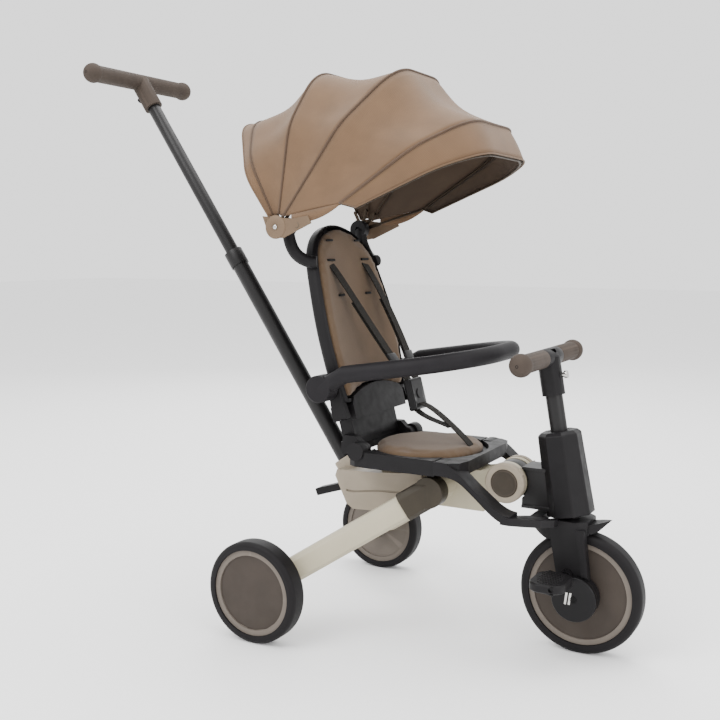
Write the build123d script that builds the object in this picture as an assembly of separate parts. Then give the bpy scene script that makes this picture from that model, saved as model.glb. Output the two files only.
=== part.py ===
from build123d import *

import math
import os

# A folding children's tricycle. Lengths are millimetres and angles are degrees.
# +X points forwards, +Y to the rider's left, +Z up. The wheels stand on Z = 0.

# Wheels
FRONT_RADIUS = 105.0
FRONT_WIDTH = 37.0
FRONT_RING = 89.0
REAR_RADIUS = 90.0
REAR_WIDTH = 38.0
REAR_RING = 75.7
FRONT_X = 432.0
REAR_X = -77.0
REAR_Y = 234.0
RING_WIDTH = 9.5
AXLE_RADIUS = 6.0
REAR_AXLE_RADIUS = 5.0
RUNNING_GAP = 0.05

# Fork, steering housing and stem, all on one raked axis
RAKE = 9.9
STEER_FOOT = (410.0, 0.0, 237.0)
HOUSING_LENGTH = 143.0
HOUSING_HALF_FOOT = 37.5
HOUSING_HALF_HEAD = 34.0
STEM_RADIUS = 14.35
BUSH_RADIUS = 18.0
BUSH_LENGTH = 16.0
FORK_INNER = 24.0
FORK_OUTER = 38.0
FORK_RIB_OUTER = 40.5
CROWN_SWEEP = 42.0
BAR_ALONG = 268.0
SLEEVE_ALONG = 204.0
SLEEVE_RADIUS = 19.3
SLEEVE_TRAVEL = 45.0
BAR_RADIUS = 15.7
BAR_END_RADIUS = 19.0
BAR_BALL_Y = 134.0
BAR_CENTRE_HALF = 35.0

# Cranks and pedals
HUB_RADIUS = 38.0
HUB_INNER = 38.8
HUB_OUTER = 50.0
CRANK_BACK = 14.0
CRANK_UP = 38.0
SPINDLE_RADIUS = 4.0
PEDAL_INNER = 54.0
PEDAL_OUTER = 128.0
PEDAL_BACK = 42.0
PEDAL_FRONT = 19.0

# Folding hinge between the rear beam and the front beam
HINGE_X = 304.0
HINGE_Z = 285.0
HINGE_RADIUS = 35.0
HINGE_PIN_RADIUS = 8.0
KNUCKLE_HALF = 16.0
EAR_OUTER = 28.0
COVER_OUTER = 41.0
FRONT_BEAM_START = 330.0
BUTTON_RADIUS = 24.0
BUTTON_TRAVEL = 4.0

# Rear beam, rear housing and rear legs
BEAM_HALF = 28.0
BEAM_FOOT = 227.0
BEAM_HEAD = 300.0
HOUSING_HALF = 45.0
LEVER_X = 2.0
LEVER_Z = 236.0
LEVER_HALF = 8.0
LEVER_PIN_RADIUS = 3.0
LEG_X = 187.0
LEG_Y = 80.0
LEG_Z = 266.0
LEG_END_Y = 208.0
LEG_HEIGHT = 44.0
LEG_THICK = 24.0
LEG_WALL = 2.0
LEG_PIVOT_RADIUS = 10.0
SLEEVE_END_RADIUS = 27.0

# Push pole
POLE_FOOT = (-26.0, 0.0, 281.0)
POLE_LEAN = 33.65
POLE_RADIUS = 16.0
POLE_INNER_RADIUS = 13.0
POLE_COLLAR_ALONG = 468.0
POLE_STEM_ALONG = 825.5
POLE_BAR_ALONG = 888.6
POLE_OVERLAP = 110.0
POLE_BAR_RADIUS = 16.5

# Seat
SEAT_X = 145.5
SEAT_HALF_X = 100.0
SEAT_HALF_Y = 109.0
SEAT_TOP = 333.0
SEAT_RIM_TOP = 329.0
SEAT_FLOOR = 302.0
SEAT_TRAY_TOP = 320.0
RIM_HALF = 120.0
RIM_REAR = 41.0
RIM_SEAM = 209.0
WEB_EDGE = 131.0
WEB_FOOT = 239.0
WEB_TILT = 9.8
RECLINE_X = 57.0
RECLINE_Z = 329.0
RECLINE_PIN_RADIUS = 5.0
BARREL_INNER = 82.0
BARREL_OUTER = 98.0

# Backrest, on a plane that leans back
BACK_POINT = (29.0, 0.0, 420.0)
BACK_LEAN = 14.4
BACK_SIDE = [(107, 0), (121, 68), (122, 144), (111, 213), (98, 258)]
BACK_TOP = 311.0
BACK_RIM = 8.0
BACK_FRONT = -2.0
BACK_DEPTH = 28.0
BACK_WALL = 3.0
BACK_WING = 18.0
WING_HALF = 140.0
PAD_THICK = 12.0
# Harness slots in the back pad: distance from the middle and distance up the pad
PAD_SLOTS = [(51, 285), (63, 246), (50, 183)]
SLOT_WIDE = 24.0
SLOT_TALL = 4.0
STRAP_WIDE = 22.0
STRAP_THICK = 2.0
BUCKLE_DEPTH = 84.0
BUCKLE_UP = -21.0

# Bumper bar
BUMPER_X = 5.0
BUMPER_Z = 441.0
BUMPER_HALF = 150.0
BUMPER_RADIUS = 15.0
BUMPER_HEAD_RADIUS = 24.0
BUMPER_ELBOW = (54.0, 469.0)
BUMPER_NOSE = (281.0, 505.0)
BUMPER_BEND = 128.0

# Canopy: arches that fan out from one pivot
CANOPY_X = -75.0
CANOPY_Z = 720.0
PIVOT_RADIUS = 4.0
WIRE_RADIUS = 2.0
FABRIC_GAP = 3.5
FABRIC_THICK = 2.0
FABRIC_HEM = 18.0
CORNER_RADIUS = 92.0
ARM_RADIUS = 11.0
ARM_LINE = [(-72, 131, 714), (-66, 131, 690), (-57, 129, 674), (-42, 120, 662), (-24, 111, 659)]
EAR_REACH = 38.0
# Each arch: angle from upright, half width, height and the two corner shares of its outline
REAR_EDGE = (-34.5, 169.0, 237.0, 0.45, 0.45)
BOW_REAR = (-26.9, 157.0, 221.0, 0.60, 0.55)
BOW_MIDDLE = (8.2, 160.0, 274.0, 0.64, 0.58)
BOW_FRONT = (36.8, 163.0, 332.0, 0.64, 0.58)
VISOR_BOW = (57.5, 164.0, 248.0, 0.66, 0.60)
VISOR_RIM = (67.8, 154.0, 228.0, 0.70, 0.66)
VISOR_BOW_BASE = (52.0, 758.0)
VISOR_RIM_BASE = (76.0, 751.0)
EAR_LEVELS = {"rear": 143.0, "middle": 145.4, "front": 147.8, "visor": 150.2}
EAR_THICK = 2.0


def raked(along):
    """A plane square to the steering axis, with its normal up the axis."""
    sine = math.sin(math.radians(RAKE))
    cosine = math.cos(math.radians(RAKE))
    foot = Vector(*STEER_FOOT)
    up = Vector(-sine, 0, cosine)
    return Plane(origin=foot + up * along, x_dir=(cosine, 0, sine), z_dir=up)


def up_pole(along):
    """A plane square to the push pole, with its normal up the pole."""
    sine = math.sin(math.radians(POLE_LEAN))
    cosine = math.cos(math.radians(POLE_LEAN))
    foot = Vector(*POLE_FOOT)
    up = Vector(-sine, 0, cosine)
    return Plane(origin=foot + up * along, x_dir=(cosine, 0, sine), z_dir=up)


def back_plane(depth=0.0):
    """The backrest's plane: x runs to the rider's left, y up the back, normal forwards."""
    sine = math.sin(math.radians(BACK_LEAN))
    cosine = math.cos(math.radians(BACK_LEAN))
    normal = Vector(cosine, 0, sine)
    return Plane(origin=Vector(*BACK_POINT) + normal * depth, x_dir=(0, 1, 0), z_dir=normal)


def rod(plane, radius, length, bore=0.0):
    """A round bar or tube that starts on a plane and runs along its normal."""
    bar = Cylinder(radius, length, align=(Align.CENTER, Align.CENTER, Align.MIN))
    if bore:
        bar -= Cylinder(bore, length, align=(Align.CENTER, Align.CENTER, Align.MIN))
    return plane * bar


def cross_rod(x, z, radius, y0, y1, bore=0.0):
    """A round bar or tube along Y between two stations."""
    return rod(Plane(origin=(x, y0, z), x_dir=(1, 0, 0), z_dir=(0, 1, 0)), radius, y1 - y0, bore)


def side_prism(points, y0, y1, radius=0.0):
    """A solid with a side outline of (x, z) points, between two stations along Y."""
    outline = make_face(Polyline(*[(x, z) for x, z in points], close=True))
    if radius:
        outline = fillet(outline.vertices(), radius)
    side = Plane(origin=(0, y1, 0), x_dir=(1, 0, 0), z_dir=(0, -1, 0))
    return side * extrude(outline, amount=y1 - y0)


def curved_side(top, foot, y0, y1):
    """A solid between two smooth side lines of (x, z) points, between two stations along Y."""
    outline = Spline(*top) + Line(top[-1], foot[0]) + Spline(*foot) + Line(foot[-1], top[0])
    side = Plane(origin=(0, y1, 0), x_dir=(1, 0, 0), z_dir=(0, -1, 0))
    return side * extrude(make_face(outline), amount=y1 - y0)


def top_prism(points, z0, z1, radius=0.0):
    """A solid with a plan outline of (x, y) points, between two heights."""
    outline = make_face(Polyline(*points, close=True))
    if radius:
        outline = fillet(outline.vertices(), radius)
    return Pos(0, 0, z0) * extrude(outline, amount=z1 - z0)


def with_mirror(points):
    """A plan outline that is given on the left side only, closed across the middle."""
    return points + [(x, -y) for x, y in reversed(points)]


def both_sides(solid):
    """The same solid on the left and on the right."""
    return solid + mirror(solid, about=Plane.XZ)


def bar_between(start, end, radius):
    """A round bar from one point to another."""
    run = Vector(*end) - Vector(*start)
    return rod(Plane(origin=start, z_dir=run), radius, run.length)


# ---------------------------------------------------------------- wheels


def wheel_tyre(radius, ring, width, x, y):
    """A tyre with round shoulders."""
    section = Pos((radius + ring) / 2, 0) * Rectangle(radius - ring, width)
    shoulders = section.vertices().group_by(Axis.X)[-1]
    section = fillet(shoulders, (radius - ring) * 0.6)
    return Pos(x, y, radius) * revolve(section, Axis.Y)


def wheel_disc(radius, ring, width, x, y, bore, blind_side=0):
    """A moulded disc with a proud ring at its edge, and a bore that may stop short of one face."""
    web = width / 2 - 6.0
    lip = width / 2 - 3.5
    disc = Cylinder(ring, 2 * lip)
    for side in (-1, 1):
        recess = Cylinder(ring - RING_WIDTH, lip - web, align=(Align.CENTER, Align.CENTER, Align.MIN))
        disc -= Pos(0, 0, web if side > 0 else -lip) * recess
    hole = Cylinder(bore, width)
    if blind_side:
        hole = Pos(0, 0, -blind_side * 6.0) * Cylinder(bore, width - 12.0)
    disc -= hole
    return Pos(x, y, radius) * Rot(-90, 0, 0) * disc


# ---------------------------------------------------------------- steering


def fork():
    """Two legs outside the front wheel, joined by a crown over the tyre."""
    axle_z = FRONT_RADIUS
    leg = side_prism(
        [(386, 221), (444, 221), (445, 205), (453, 140), (453, axle_z), (411, axle_z), (398, 140), (386, 205)],
        FORK_INNER, FORK_OUTER,
    )
    leg += cross_rod(FRONT_X, axle_z, HUB_RADIUS - 1.0, FORK_INNER - 3, FORK_OUTER)
    rib = side_prism([(430, 221), (444, 221), (445, 205), (453, 142), (441, 142), (432, 205)], FORK_OUTER,
                      FORK_RIB_OUTER)
    leg += rib
    legs = both_sides(leg)
    crown = Pos(417, 0, 223) * Box(58, 2 * FORK_OUTER, 18)
    crown &= rod(raked(-40), CROWN_SWEEP, 60)
    body = legs + crown
    body -= rod(raked(-24), STEM_RADIUS, 60)
    body -= cross_rod(FRONT_X, axle_z, AXLE_RADIUS + RUNNING_GAP, -60, 60)
    return body


def fender(fork_body):
    """A leaf-shaped guard over the tyre, pointed at the front and cut round the fork."""
    boat = side_prism(
        [(347, 205), (352, 216), (390, 220), (440, 224), (480, 235), (462, 217), (439, 205), (408, 197), (373, 195)],
        -27, 27,
    )
    leaf = make_face(Spline((346, 0), (372, 22), (410, 27), (446, 22), (481, 0)) + Line((481, 0), (346, 0)))
    leaf += mirror(leaf, about=Plane.XZ)
    guard = boat & extrude(leaf, amount=300)
    guard -= cross_rod(FRONT_X, FRONT_RADIUS, FRONT_RADIUS + 3, -21.5, 21.5)
    guard -= rod(raked(-24), CROWN_SWEEP, 80) & Box(200, 90, 1000)
    guard -= fork_body
    guard -= rod(raked(-24), STEM_RADIUS, 60)
    return guard


def stem_tube():
    """The steerer: a tube from the fork crown up into the handlebar."""
    return rod(raked(-23.5), STEM_RADIUS, SLEEVE_ALONG + 75, STEM_RADIUS - 2.5)


def steering_housing():
    """The eight-sided head tube casing that widens towards its foot."""
    foot = raked(0) * RegularPolygon(HOUSING_HALF_FOOT, 8, major_radius=False, rotation=22.5)
    head = raked(HOUSING_LENGTH) * RegularPolygon(HOUSING_HALF_HEAD, 8, major_radius=False, rotation=22.5)
    casing = loft([foot, head], ruled=True)
    casing = chamfer(casing.faces().sort_by(Axis.Z)[-1].edges(), 6.0)
    casing -= rod(raked(-5), BUSH_RADIUS, HOUSING_LENGTH + 10)
    return casing


def housing_bushes():
    """The two plastic bushes that the stem turns in."""
    bushes = Part()
    for along in (0.5, HOUSING_LENGTH - BUSH_LENGTH - 0.5):
        bushes += rod(raked(along), BUSH_RADIUS, BUSH_LENGTH, STEM_RADIUS + RUNNING_GAP)
    return bushes


def front_beam(casing):
    """The beam from the folding hinge to the steering housing, with a ledge along each edge."""
    start = FRONT_BEAM_START
    beam = side_prism([(start, 247), (start, 311), (395, 311), (405, 247)], -23, 23)
    for low, high in ((243, 248), (309, 314)):
        ledge = side_prism([(start, low), (start, high), (400, high), (400, low)], -26, 26)
        beam += ledge
    beam -= cross_rod(HINGE_X, HINGE_Z, HINGE_RADIUS + 1.5, -60, 60)
    beam += cross_rod(HINGE_X, HINGE_Z, HINGE_RADIUS - 2, -KNUCKLE_HALF, KNUCKLE_HALF)
    beam += side_prism([(310, 262), (310, 308), (350, 308), (350, 262)], -KNUCKLE_HALF, KNUCKLE_HALF)
    beam -= cross_rod(HINGE_X, HINGE_Z, HINGE_PIN_RADIUS + RUNNING_GAP, -60, 60)
    beam -= casing
    beam -= rod(raked(-5), BUSH_RADIUS + 2, HOUSING_LENGTH)
    return beam


def footrest_frame(casing, beam):
    """The seat's nose with two foot arms that curve in under the steering housing."""
    nose = top_prism(with_mirror([(210, 126), (236, 124), (252, 112), (258, 88), (258, 40)]), 306, 328)
    arm = curved_side(
        [(210, 328), (232, 327), (250, 317), (271, 299), (303, 273), (327, 257), (346, 252)],
        [(346, 238), (334, 240), (318, 248), (295, 267), (270, 288), (252, 300), (232, 305), (210, 306)],
        88, 126,
    )
    web = top_prism(
        [(330, 88), (330, 126), (345, 131), (364, 120), (389, 98), (402, 66), (402, 47), (371, 42), (352, 40),
         (345, 52)],
        0, 12,
    )
    web = Pos(0, WEB_EDGE, WEB_FOOT) * Rot(WEB_TILT, 0, 0) * Pos(0, -WEB_EDGE, 0) * web
    web += Pos(361.5, 22, 230) * Box(19, 44, 12)
    frame = nose + both_sides(arm + web)
    frame -= Pos(SEAT_X, 0, 0) * extrude(Ellipse(SEAT_HALF_X + 4.5, SEAT_HALF_Y + 4.5), amount=400)
    frame -= casing
    return frame - beam


def handlebar_tee():
    """The black tee: a sleeve over the stem and the middle of the bar."""
    sleeve = rod(raked(SLEEVE_ALONG), SLEEVE_RADIUS, BAR_ALONG - SLEEVE_ALONG)
    centre = raked(BAR_ALONG).origin
    tee = sleeve + cross_rod(centre.X, centre.Z, BAR_RADIUS, -BAR_CENTRE_HALF, BAR_CENTRE_HALF)
    tee += cross_rod(centre.X, centre.Z, 9, -BAR_BALL_Y, BAR_BALL_Y)
    tee -= rod(raked(SLEEVE_ALONG - 1), STEM_RADIUS + RUNNING_GAP, 78)
    knob = knob_plane()
    tee -= rod(knob, 4 + RUNNING_GAP, 30)
    return tee


def handlebar_grips():
    """The two soft grips with ball ends."""
    centre = raked(BAR_ALONG).origin
    grip = cross_rod(centre.X, centre.Z, BAR_RADIUS, BAR_CENTRE_HALF, BAR_BALL_Y)
    grip += Pos(centre.X, BAR_BALL_Y, centre.Z) * Sphere(BAR_END_RADIUS)
    grip -= cross_rod(centre.X, centre.Z, 9, 0, BAR_BALL_Y)
    return both_sides(grip)


def knob_plane():
    """Where the height knob's pin starts, pointing forwards out of the sleeve."""
    station = raked(SLEEVE_ALONG + 32)
    return Plane(origin=station.origin + station.x_dir * (STEM_RADIUS + 0.5), z_dir=station.x_dir)


def height_knob():
    """A pull knob whose pin sits in the sleeve's wall."""
    knob = rod(knob_plane(), 4, 8)
    neck = Plane(origin=knob_plane().origin + knob_plane().z_dir * 5.6, z_dir=knob_plane().z_dir)
    knob += rod(neck, 4, 6)
    head = Plane(origin=knob_plane().origin + knob_plane().z_dir * 9, z_dir=knob_plane().z_dir)
    knob += rod(head, 6.5, 5)
    return knob


# ---------------------------------------------------------------- cranks and pedals


def front_axle():
    """The front axle, which turns with the wheel and the cranks."""
    return cross_rod(FRONT_X, FRONT_RADIUS, AXLE_RADIUS, -HUB_OUTER + 2, HUB_OUTER - 2)


def crank_hubs():
    """The round crank covers outside the fork, each with a short arm and a pedal spindle."""
    hubs = Part()
    for side in (-1, 1):
        x = FRONT_X + side * CRANK_BACK
        z = FRONT_RADIUS - side * CRANK_UP
        inner, outer = sorted((side * HUB_INNER, side * HUB_OUTER))
        hub = cross_rod(FRONT_X, FRONT_RADIUS, HUB_RADIUS, inner, outer)
        hub = chamfer(hub.edges().filter_by(GeomType.CIRCLE), 1.2)
        inner, outer = sorted((side * (HUB_INNER + 2), side * (HUB_OUTER + 2)))
        hub += cross_rod(x, z, 9, inner, outer)
        inner, outer = sorted((side * HUB_OUTER, side * (PEDAL_OUTER - 4)))
        hub += cross_rod(x, z, SPINDLE_RADIUS, inner, outer)
        hub -= cross_rod(FRONT_X, FRONT_RADIUS, AXLE_RADIUS, -HUB_OUTER + 2, HUB_OUTER - 2)
        hubs += hub
    return hubs


def pedal(side):
    """A flat pedal with raised ribs across its top and bottom."""
    x = FRONT_X + side * CRANK_BACK
    z = FRONT_RADIUS - side * CRANK_UP
    inner, outer = sorted((side * PEDAL_INNER, side * PEDAL_OUTER))
    outline = make_face(Polyline(
        (x - PEDAL_BACK, inner), (x + PEDAL_FRONT, inner), (x + PEDAL_FRONT, outer), (x - PEDAL_BACK, outer),
        close=True,
    ))
    outline = fillet(outline.vertices(), 22)
    slab = Pos(0, 0, z - 8) * extrude(outline, amount=15)
    slab = chamfer(slab.edges().group_by(Axis.Z)[0] + slab.edges().group_by(Axis.Z)[-1], 2.5)
    return slab - cross_rod(x, z, SPINDLE_RADIUS + RUNNING_GAP, inner - 1, outer + 1)


# ---------------------------------------------------------------- rear frame


def rear_beam():
    """The beam under the seat, with two hinge ears at its front and a cross tube for the legs."""
    beam = side_prism(
        [(60, BEAM_FOOT + 4), (60, 297), (110, BEAM_HEAD), (262, BEAM_HEAD), (HINGE_X, 309), (HINGE_X, 258),
         (271, 241), (262, BEAM_FOOT), (120, BEAM_FOOT)],
        -BEAM_HALF, BEAM_HALF,
    )
    beam -= cross_rod(HINGE_X, HINGE_Z, HINGE_RADIUS + 1.5, -60, 60)
    hollow = side_prism(
        [(40, BEAM_FOOT + 9), (40, 292), (112, BEAM_HEAD - 5), (255, BEAM_HEAD - 5), (255, BEAM_FOOT + 5)],
        -BEAM_HALF + 4, BEAM_HALF - 4,
    )
    beam -= hollow
    ear = cross_rod(HINGE_X, HINGE_Z, HINGE_RADIUS - 1, KNUCKLE_HALF + 0.4, EAR_OUTER)
    ear += side_prism([(HINGE_X - 50, 258), (HINGE_X - 50, 300), (HINGE_X, 309), (HINGE_X, 252)],
                      KNUCKLE_HALF + 0.4, EAR_OUTER)
    beam += both_sides(ear)
    beam += cross_rod(LEG_X, LEG_Z, 22, -LEG_Y + 18, LEG_Y - 18)
    beam -= cross_rod(LEG_X, LEG_Z, LEG_PIVOT_RADIUS, -LEG_Y, LEG_Y)
    beam -= cross_rod(HINGE_X, HINGE_Z, HINGE_PIN_RADIUS, -60, 60)
    return beam


def rear_housing(beam, socket):
    """The faceted moulding at the rear of the beam, with a groove along each side."""
    shell = side_prism(
        [(-28, 262), (-24, 274), (60, 277), (114, 282), (150, 284), (150, 226), (60, 206), (10, 203), (-4, 212)],
        -HOUSING_HALF, HOUSING_HALF,
    )
    groove = side_prism(
        [(-4, 239), (10, 238), (67, 246), (106, 248), (106, 244), (67, 242), (10, 234), (-4, 235)],
        HOUSING_HALF - 3, HOUSING_HALF + 1,
    )
    shell -= both_sides(groove)
    shell -= side_prism([(18, 238), (18, 262), (56, 270), (56, 212), (22, 209)], -HOUSING_HALF + 4, HOUSING_HALF - 4)
    shell -= Box(400, 2 * BEAM_HALF, 100).moved(Location((60 + 200, 0, 254)))
    shell -= rod(up_pole(-30), POLE_RADIUS, 200)
    shell -= beam
    shell -= socket
    slot = side_prism(
        [(-40, LEVER_Z - 15), (-40, LEVER_Z + 9), (LEVER_X + 8, LEVER_Z + 9), (LEVER_X + 8, LEVER_Z - 15)],
        -LEVER_HALF - 0.5, LEVER_HALF + 0.5,
    )
    shell -= slot
    shell -= cross_rod(LEVER_X, LEVER_Z, LEVER_PIN_RADIUS + RUNNING_GAP, -16, 16)
    return shell


def pole_socket():
    """The collar that holds the foot of the push pole."""
    collar = extrude(up_pole(-22) * RectangleRounded(40, 40, 8), amount=30)
    collar -= rod(up_pole(-30), POLE_RADIUS, 200)
    return collar


def pole_outer_tube():
    """The fixed lower tube of the push pole and the plastic collar at its top."""
    tube = rod(up_pole(-22), POLE_RADIUS, POLE_COLLAR_ALONG + 12, POLE_INNER_RADIUS + RUNNING_GAP)
    collar = rod(up_pole(POLE_COLLAR_ALONG - 26), POLE_RADIUS + 2.5, 32, POLE_RADIUS)
    collar += rod(up_pole(POLE_COLLAR_ALONG - 9.9), POLE_RADIUS + 0.5, 15.9, POLE_INNER_RADIUS + RUNNING_GAP)
    return tube + Part(collar.solids())


def pole_inner_tube():
    """The sliding upper tube of the push pole."""
    start = POLE_COLLAR_ALONG - POLE_OVERLAP
    return rod(up_pole(start), POLE_INNER_RADIUS, POLE_STEM_ALONG + 20 - start, POLE_INNER_RADIUS - 1.5)


def push_handle_stem():
    """The tee at the top of the pole."""
    stem = rod(up_pole(POLE_STEM_ALONG), POLE_BAR_RADIUS + 2, POLE_BAR_ALONG - POLE_STEM_ALONG)
    stem -= rod(up_pole(POLE_STEM_ALONG - 1), POLE_INNER_RADIUS, 21)
    centre = up_pole(POLE_BAR_ALONG).origin
    stem -= cross_rod(centre.X, centre.Z, POLE_BAR_RADIUS, -60, 60)
    stem -= rod(button_plane(), 5 + RUNNING_GAP, 40)
    return stem


def push_handle_grip():
    """The crosswise grip with ball ends."""
    centre = up_pole(POLE_BAR_ALONG).origin
    grip = cross_rod(centre.X, centre.Z, POLE_BAR_RADIUS, -BAR_BALL_Y, BAR_BALL_Y)
    for side in (-1, 1):
        grip += Pos(centre.X, side * BAR_BALL_Y, centre.Z) * Sphere(BAR_END_RADIUS)
    return grip


def button_plane():
    """Where the pole's release button starts, pointing backwards out of the stem."""
    station = up_pole(POLE_STEM_ALONG + 34)
    return Plane(origin=station.origin - station.x_dir * 8, z_dir=-station.x_dir)


def pole_button():
    """The release button of the telescopic pole, with room behind it to travel."""
    plane = button_plane()
    start = Plane(origin=plane.origin + plane.z_dir * 4, z_dir=plane.z_dir)
    return rod(start, 5, 11)


def hinge_covers():
    """The ring round each fold button, with a small raised tab."""
    ring = cross_rod(HINGE_X, HINGE_Z, HINGE_RADIUS, EAR_OUTER, COVER_OUTER)
    ring = chamfer(ring.edges().filter_by(GeomType.CIRCLE).group_by(Axis.Y)[-1], 2.0)
    tab = Pos(HINGE_X, 36, HINGE_Z) * Rot(0, -38, 0) * Pos(HINGE_RADIUS - 1, 0, 0) * Box(7, 8, 13)
    ring += tab
    ring -= cross_rod(HINGE_X, HINGE_Z, BUTTON_RADIUS + 0.3, EAR_OUTER + 1.5, COVER_OUTER + 5)
    ring -= cross_rod(HINGE_X, HINGE_Z, HINGE_PIN_RADIUS, 0, 60)
    return both_sides(ring)


def fold_button(side):
    """One of the two round buttons that release the fold."""
    floor = EAR_OUTER + 1.5 + BUTTON_TRAVEL + 2
    inner, outer = sorted((side * floor, side * (COVER_OUTER + 0.5)))
    return cross_rod(HINGE_X, HINGE_Z, BUTTON_RADIUS, inner, outer)


def frame_pins():
    """The hinge pin and the pivot shaft of the two rear legs."""
    pins = cross_rod(HINGE_X, HINGE_Z, HINGE_PIN_RADIUS, -EAR_OUTER - 1.5, EAR_OUTER + 1.5)
    pins += cross_rod(LEG_X, LEG_Z, LEG_PIVOT_RADIUS, -LEG_Y - 10, LEG_Y + 10)
    return pins


def leg_plane(along, side):
    """A plane square to a rear leg: x up the leg's depth, normal down the leg."""
    top = Vector(LEG_X, side * LEG_Y, LEG_Z)
    foot = Vector(REAR_X, side * LEG_END_Y, REAR_RADIUS)
    down = (foot - top).normalized()
    rise = Vector(0, 0, 1) - down * down.Z
    return Plane(origin=top + (foot - top) * along, x_dir=rise, z_dir=down)


def leg_length():
    run = Vector(REAR_X - LEG_X, LEG_END_Y - LEG_Y, REAR_RADIUS - LEG_Z)
    return run.length


def leg_box(side, start, end, grow, corner):
    """A stretch of the leg's box section, between two shares of its length."""
    section = Rectangle(LEG_HEIGHT + grow, LEG_THICK + grow)
    section = chamfer(section.vertices(), corner)
    return extrude(leg_plane(start, side) * section, amount=(end - start) * leg_length())


def leg_span(side, near, far):
    """Two stations along Y on one side of the tricycle, low one first."""
    return sorted((side * near, side * far))


def leg_tube(side):
    """The hollow box of a rear leg, with a round knuckle at its top."""
    low, high = leg_span(side, LEG_Y - 16, LEG_Y + 12)
    tube = leg_box(side, 0.0, 0.84, 0, 7) - leg_box(side, 0.2, 0.9, -2 * LEG_WALL, 5)
    tube &= Pos(0, side * 160, 150) * Box(800, 192, 400)
    tube += cross_rod(LEG_X, LEG_Z, SLEEVE_END_RADIUS - 3, low, high)
    low, high = leg_span(side, LEG_Y - 30, LEG_Y + 10 + RUNNING_GAP)
    tube -= cross_rod(LEG_X, LEG_Z, LEG_PIVOT_RADIUS + RUNNING_GAP, low, high)
    return tube


def leg_sleeve(side, tube):
    """The dark cap over the top of a rear leg."""
    low, high = leg_span(side, LEG_Y - 10, LEG_Y + 18)
    sleeve = cross_rod(LEG_X, LEG_Z, SLEEVE_END_RADIUS, low, high)
    sleeve += leg_box(side, 0.0, 0.17, 6, 8)
    sleeve &= Pos(0, side * 170, 250) * Box(800, 200, 400)
    sleeve -= tube
    low, high = leg_span(side, LEG_Y - 30, LEG_Y + 10 + RUNNING_GAP)
    sleeve -= cross_rod(LEG_X, LEG_Z, LEG_PIVOT_RADIUS + RUNNING_GAP, low, high)
    return sleeve.solids().sort_by(SortBy.VOLUME)[-1]


def wheel_boss(side, tube):
    """The moulded end of a rear leg that holds the wheel's axle."""
    low, high = leg_span(side, LEG_END_Y - 12, REAR_Y - REAR_WIDTH / 2 - 1.5)
    boss = leg_box(side, 0.74, 0.97, -4.5, 8)
    boss += cross_rod(REAR_X, REAR_RADIUS, 21, low, high)
    boss &= Pos(0, side * 100, 100) * Box(800, 2 * (REAR_Y - REAR_WIDTH / 2 - 1.5 - 100), 400)
    low, high = leg_span(side, LEG_END_Y - 14, REAR_Y + 6.5)
    boss -= tube
    boss = boss.solids().sort_by(SortBy.VOLUME)[-1]
    axle = cross_rod(REAR_X, REAR_RADIUS, REAR_AXLE_RADIUS, low, high)
    return (boss - axle) + Part(axle.solids())


def rear_lever():
    """The foot lever at the back of the rear housing."""
    lever = side_prism([(-31, 241), (-31, 227), (-87, 209), (-92, 222)], -13, 13, 2)
    lever += side_prism([(LEVER_X, LEVER_Z + 5), (LEVER_X, LEVER_Z - 5), (-36, 227), (-36, 238)],
                        -LEVER_HALF, LEVER_HALF)
    lever += cross_rod(LEVER_X, LEVER_Z, 6, -LEVER_HALF, LEVER_HALF)
    lever += cross_rod(LEVER_X, LEVER_Z, LEVER_PIN_RADIUS, -15, 15)
    return lever


# ---------------------------------------------------------------- seat


def seat_shell():
    """The seat pan: a tray under the pad and a deep rim along the sides."""
    outline = top_prism(
        with_mirror([(RIM_SEAM, RIM_HALF), (80, RIM_HALF), (54, 117), (RIM_REAR, 110), (RIM_REAR, 99)]),
        SEAT_FLOOR, SEAT_RIM_TOP,
    )
    tray = extrude(Ellipse(SEAT_HALF_X + 2.5, SEAT_HALF_Y + 2.5), amount=SEAT_TRAY_TOP - SEAT_FLOOR)
    pan = outline + Pos(SEAT_X, 0, SEAT_FLOOR) * tray
    recess = extrude(Ellipse(SEAT_HALF_X + 1.5, SEAT_HALF_Y + 1.5), amount=60)
    pan -= Pos(SEAT_X, 0, SEAT_TRAY_TOP) * recess
    pan -= Pos(RECLINE_X - 14, 0, SEAT_TOP) * Box(60, 2 * BARREL_OUTER + 2, 2 * (SEAT_TOP - 311))
    pocket = Pos(SEAT_X, 0, SEAT_FLOOR) * extrude(Ellipse(SEAT_HALF_X - 3, SEAT_HALF_Y - 3), amount=12)
    pocket -= Pos(SEAT_X, 0, SEAT_FLOOR) * Box(2 * SEAT_HALF_X, 50, 40)
    pan -= pocket
    boss = cross_rod(RECLINE_X, RECLINE_Z, 16, BARREL_OUTER + 1, RIM_HALF + 1.5)
    boss += cross_rod(RECLINE_X, RECLINE_Z, RECLINE_PIN_RADIUS, BARREL_INNER - 2, 110)
    return pan + both_sides(boss)


def seat_pad():
    """The padded seat cushion."""
    pad = Pos(SEAT_X, 0, SEAT_TRAY_TOP + 0.3) * extrude(
        Ellipse(SEAT_HALF_X, SEAT_HALF_Y), amount=SEAT_TOP - SEAT_TRAY_TOP - 0.3
    )
    pad = fillet(pad.edges().group_by(Axis.Z)[-1], 4)
    pad -= crotch_slot()
    return pad


def crotch_slot():
    """The slot near the front of the seat pad that the crotch strap comes out of."""
    return Pos(230, 0, SEAT_TOP) * Box(8, 30, 40)


def crotch_strap():
    """The webbing from the slot in the seat up towards the buckle."""
    main = [(230, 324), (230, 337), (186, 366), (157, 393), (134, 406)]
    loop = [(184, 367), (150, 378), (137, 385)]
    strap = Part()
    for points in (main, loop):
        strap += strap_run([Vector(x, 0, z) for x, z in points], STRAP_WIDE, STRAP_THICK)
    return strap


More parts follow.
